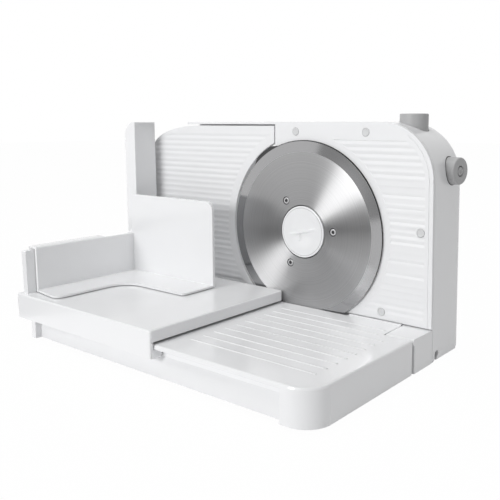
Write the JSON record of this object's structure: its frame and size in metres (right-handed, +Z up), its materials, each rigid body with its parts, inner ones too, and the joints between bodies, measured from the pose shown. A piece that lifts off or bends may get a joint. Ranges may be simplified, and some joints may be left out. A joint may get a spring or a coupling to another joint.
{
  "type": "meat slicer",
  "caption": "Electric household slicer: upright round blade between a fluted fixed plate and an adjustable stop plate, over a folding tray with a sliding carriage and food pusher.",
  "frame": {"origin": "middle of the footprint, on the surface that the slicer stands on", "axes": "+X to the right along the carriage's path, +Y from the tray towards the motor housing, +Z up"},
  "size_m": [0.358, 0.23, 0.2135],
  "materials": {
    "white_plastic": "glossy",
    "grey_plastic": "satin",
    "pale_grey_plastic": "satin",
    "dark_plastic": "satin",
    "gear_plastic": "satin",
    "rubber": "matt",
    "blade_steel": "brushed in circles",
    "steel": "plain",
    "brass": "plain"
  },
  "bodies": {
    "housing": {"motor_housing": "white_plastic", "back_cover": "white_plastic", "arm_cover": "white_plastic", "cover_screw_1": "steel", "cover_screw_2": "steel", "cover_screw_3": "steel", "cover_screw_4": "steel", "front_plate": "white_plastic", "plate_plug_1": "pale_grey_plastic", "plate_plug_2": "pale_grey_plastic", "plate_plug_3": "pale_grey_plastic", "plate_plug_4": "pale_grey_plastic", "bearing_front": "brass", "bearing_rear": "brass", "motor": "steel", "motor_end_cap": "dark_plastic", "motor_clamp": "dark_plastic", "worm_bush": "dark_plastic", "power_switch": "dark_plastic", "safety_switch": "dark_plastic", "guide_rod_1": "steel", "guide_rod_2": "steel", "hinge_pin_left": "steel", "hinge_pin_right": "steel", "housing_foot_1": "rubber", "housing_foot_2": "rubber", "housing_foot_3": "rubber", "housing_foot_4": "rubber"},
    "blade": {"blade": "blade_steel", "blade_screw_1": "steel", "blade_screw_2": "steel", "blade_screw_3": "steel", "blade_carrier": "dark_plastic", "spindle": "steel", "worm_wheel": "gear_plastic"},
    "motor_shaft": {"motor_worm": "steel", "motor_armature": "steel"},
    "blade_lock": {"blade_lock": "white_plastic"},
    "thickness_knob": {"thickness_knob": "grey_plastic", "thickness_spindle": "steel"},
    "stop_plate": {"stop_plate": "white_plastic", "stop_carrier": "dark_plastic"},
    "power_button": {"power_button": "grey_plastic"},
    "lock_button": {"lock_button": "grey_plastic"},
    "tray": {"tray": "white_plastic", "tray_foot_1": "rubber", "tray_foot_2": "rubber"},
    "carriage_skirt": {"carriage_skirt": "white_plastic"},
    "carriage": {"carriage": "white_plastic"},
    "food_pusher": {"food_pusher": "white_plastic"}
  },
  "joints": [
    {"name": "blade_spin", "type": "hinge", "parent": "housing", "child": "blade", "pos_m": [0.04, 0.057, 0.104], "axis": [0, 1, 0], "continuous": true},
    {"name": "motor_spin", "type": "hinge", "parent": "housing", "child": "motor_shaft", "pos_m": [0.04, 0.083, 0.073], "axis": [1, 0, 0], "continuous": true},
    {"name": "blade_lock_turn", "type": "hinge", "parent": "blade", "child": "blade_lock", "pos_m": [0.04, 0.057, 0.104], "axis": [0, 1, 0], "range_deg": [0, 90]},
    {"name": "thickness_turn", "type": "hinge", "parent": "housing", "child": "thickness_knob", "pos_m": [-0.085, 0.097, 0.11], "axis": [0, 1, 0], "range_deg": [-63.2, 198.2]},
    {"name": "stop_plate_slide", "type": "slide", "parent": "housing", "child": "stop_plate", "axis": [0, 1, 0], "range_m": [-0.0035, 0.011]},
    {"name": "power_press", "type": "slide", "parent": "housing", "child": "power_button", "axis": [-1, 0, 0], "range_m": [0, 0.003], "stiffness_N_per_m": 300, "springref_m": -0.002},
    {"name": "lock_press", "type": "slide", "parent": "housing", "child": "lock_button", "axis": [0, 0, -1], "range_m": [0, 0.004], "stiffness_N_per_m": 300, "springref_m": -0.002},
    {"name": "tray_fold", "type": "hinge", "parent": "housing", "child": "tray", "pos_m": [0.04, 0.0281, 0.0299], "axis": [-1, 0, 0], "range_deg": [0, 90]},
    {"name": "carriage_slide", "type": "slide", "parent": "tray", "child": "carriage_skirt", "axis": [1, 0, 0], "range_m": [0, 0.12]},
    {"name": "carriage_draw_off", "type": "slide", "parent": "carriage_skirt", "child": "carriage", "axis": [0, -1, 0], "range_m": [0, 0.4085]},
    {"name": "pusher_slide", "type": "slide", "parent": "carriage", "child": "food_pusher", "axis": [0, 1, 0], "range_m": [-0.008, 0.029]}
  ],
  "couplings": [
    {"joint": "blade_spin", "follows": "motor_spin", "ratio": 0.025},
    {"joint": "thickness_turn", "follows": "stop_plate_slide", "rad_per_m": 314.16},
    {"joint": "carriage_draw_off", "follows": "tray_fold", "m_per_rad": 0.26}
  ]
}
